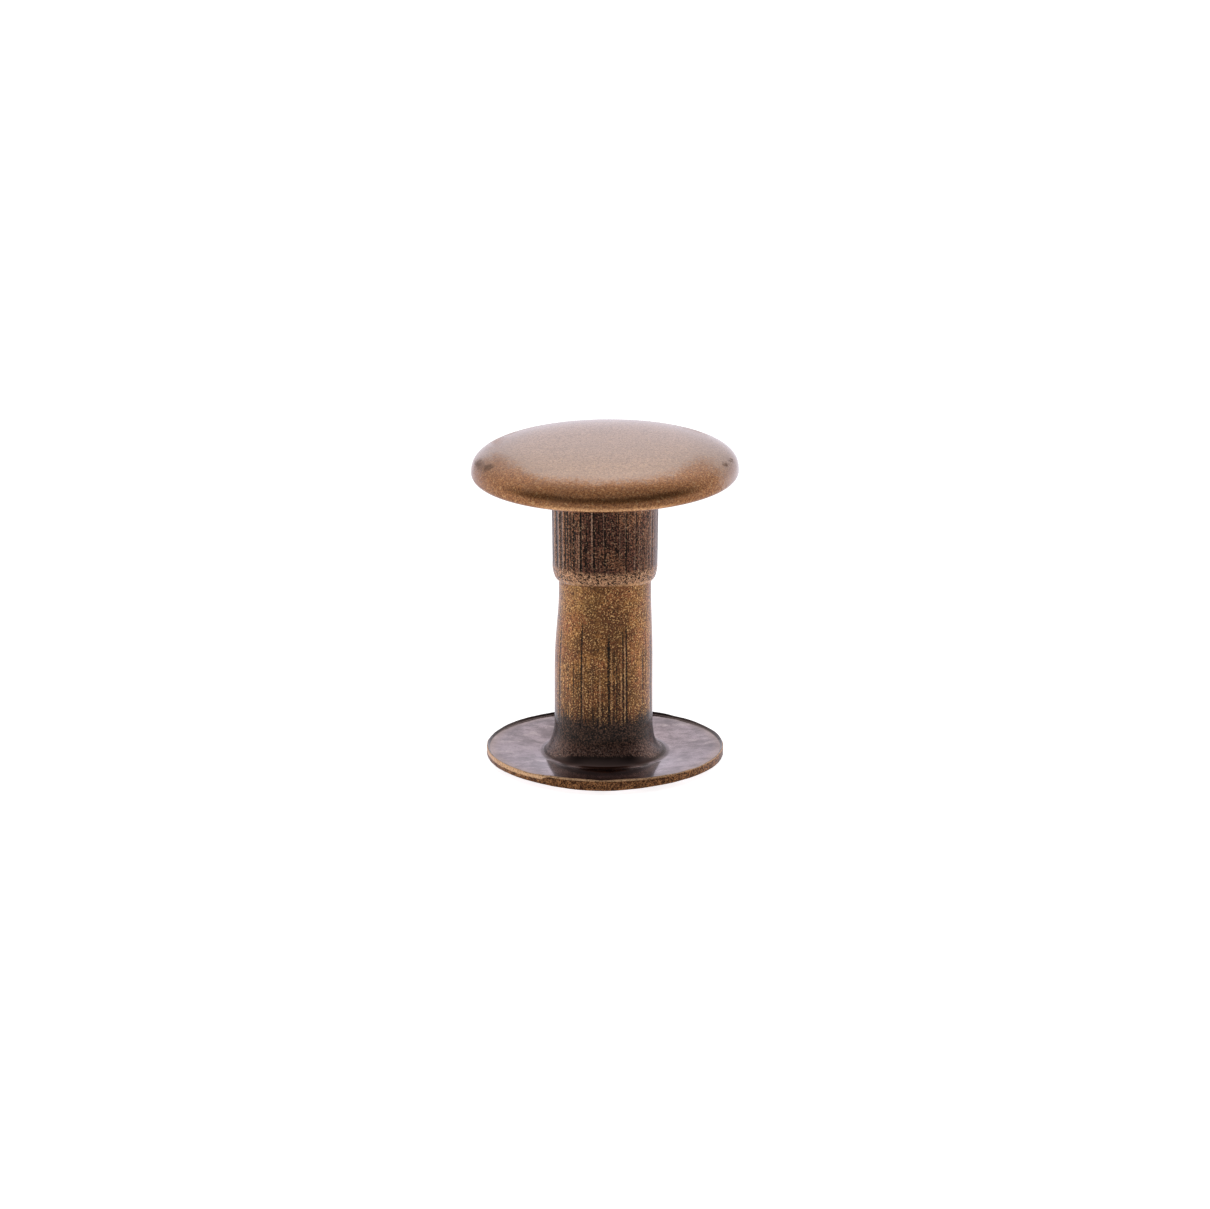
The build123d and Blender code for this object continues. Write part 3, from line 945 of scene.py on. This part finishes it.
# The studio's soft spots: direction, how far the spot reaches, how far its core reaches, strength
STUDIO_SPOTS = (
    ((0, 0.74, 0.67), 0.38, 0.05, 1.3),
    ((0.62, 0.0, 0.78), 0.7, 0.2, 0.77),
    ((-0.62, 0.0, 0.78), 0.6, 0.15, 0.88),
    ((-0.55, -0.72, 0.42), 0.75, 0.15, 1.6),
    ((-0.94, -0.15, -0.29), 0.45, 0.1, 1.2),
    ((-0.60, 0.78, 0.16), 0.5, 0.1, 0.8),
    ((0.60, 0.78, 0.16), 0.5, 0.1, 0.8),
)
STUDIO_WHITE = (1, 1, 1, 1)
STUDIO_LILAC = (0.99, 0.96, 1.06, 1)


def make_world():
    """White surroundings, dark towards the front, dim overhead and on the floor in front.

    The front stays dark because the metal of the cap and the foot reflects it.
    """
    world = bpy.data.worlds.new("studio")
    bpy.context.scene.world = world
    world.use_nodes = True
    tree = world.node_tree
    coordinates = tree.nodes.new("ShaderNodeTexCoord")
    split = tree.nodes.new("ShaderNodeSeparateXYZ")
    tree.links.new(coordinates.outputs["Generated"], split.inputs[0])
    back, up = split.outputs["Y"], split.outputs["Z"]

    def ramp(value, low, high, out_low=0.0, out_high=1.0):
        node = tree.nodes.new("ShaderNodeMapRange")
        node.interpolation_type = "SMOOTHSTEP"
        tree.links.new(value, node.inputs["Value"])
        sockets = ("From Min", "From Max", "To Min", "To Max")
        for socket, given in zip(sockets, (low, high, out_low, out_high), strict=True):
            node.inputs[socket].default_value = given
        return node.outputs[0]

    def combine(operation, a, b):
        node = tree.nodes.new("ShaderNodeMath")
        node.operation = operation
        for value, socket in ((a, node.inputs[0]), (b, node.inputs[1])):
            if isinstance(value, float):
                socket.default_value = value
            else:
                tree.links.new(value, socket)
        return node.outputs[0]

    def times(a, b):
        return combine("MULTIPLY", a, b)

    def keep(share, left):
        """1 where share is 0, and left where share is 1."""
        return combine("SUBTRACT", 1.0, times(share, 1.0 - left))

    def near(direction, far, close):
        """0 where a direction is more than far from the given one, 1 where it is nearer than close."""
        away = tree.nodes.new("ShaderNodeVectorMath")
        away.operation = "DISTANCE"
        tree.links.new(coordinates.outputs["Generated"], away.inputs[0])
        away.inputs[1].default_value = direction
        return ramp(away.outputs["Value"], far, close)

    front = times(ramp(back, 0.35, -0.4), ramp(up, -0.14, 0.14))
    dark_front = times(front, ramp(up, 0.55, 1.0, 1.0, 0.35))
    overhead = ramp(up, 0.75, 0.98)
    floor_front = times(ramp(back, 0.2, -0.9), ramp(up, 0.1, -0.1))
    back_low = times(times(ramp(back, 0.5, 0.9), ramp(up, 0.65, 0.4)), ramp(up, 0.02, 0.3))
    light = times(keep(dark_front, 0.11), keep(overhead, 0.62))
    light = times(light, keep(floor_front, 0.66))
    light = times(light, keep(back_low, 0.76))
    for direction, far, close, strength in STUDIO_SPOTS:
        light = times(light, keep(near(direction, far, close), strength))

    background = tree.nodes["Background"]
    tint = tree.nodes.new("ShaderNodeMix")
    tint.data_type = "RGBA"
    tree.links.new(times(ramp(back, 0.3, 0.8), ramp(up, 0.5, 0.1)), tint.inputs[0])
    tint.inputs[6].default_value = STUDIO_WHITE
    tint.inputs[7].default_value = STUDIO_LILAC
    tree.links.new(tint.outputs[2], background.inputs["Color"])
    tree.links.new(light, background.inputs["Strength"])


CAMERA_ELEVATION = 17.1
CAMERA_DISTANCE = 337.5
CAMERA_TARGET_Z = 5.44
FRAME_WIDTH = 40.785
SENSOR_WIDTH = 36.0


def make_camera():
    camera = bpy.data.objects.new("camera", bpy.data.cameras.new("camera"))
    bpy.context.scene.collection.objects.link(camera)
    tilt = math.radians(CAMERA_ELEVATION)
    target = Vector((0, 0, CAMERA_TARGET_Z))
    back = Vector((0, -math.cos(tilt), math.sin(tilt)))
    camera.location = (target + back * CAMERA_DISTANCE) * MM
    camera.rotation_euler = (-back).to_track_quat("-Z", "Y").to_euler()
    camera.data.sensor_width = SENSOR_WIDTH
    camera.data.lens = SENSOR_WIDTH * CAMERA_DISTANCE / FRAME_WIDTH
    camera.data.clip_start = 0.01
    camera.data.clip_end = 10.0
    bpy.context.scene.camera = camera


make_floor()
make_world()
make_camera()
bpy.context.scene.view_settings.view_transform = "Standard"
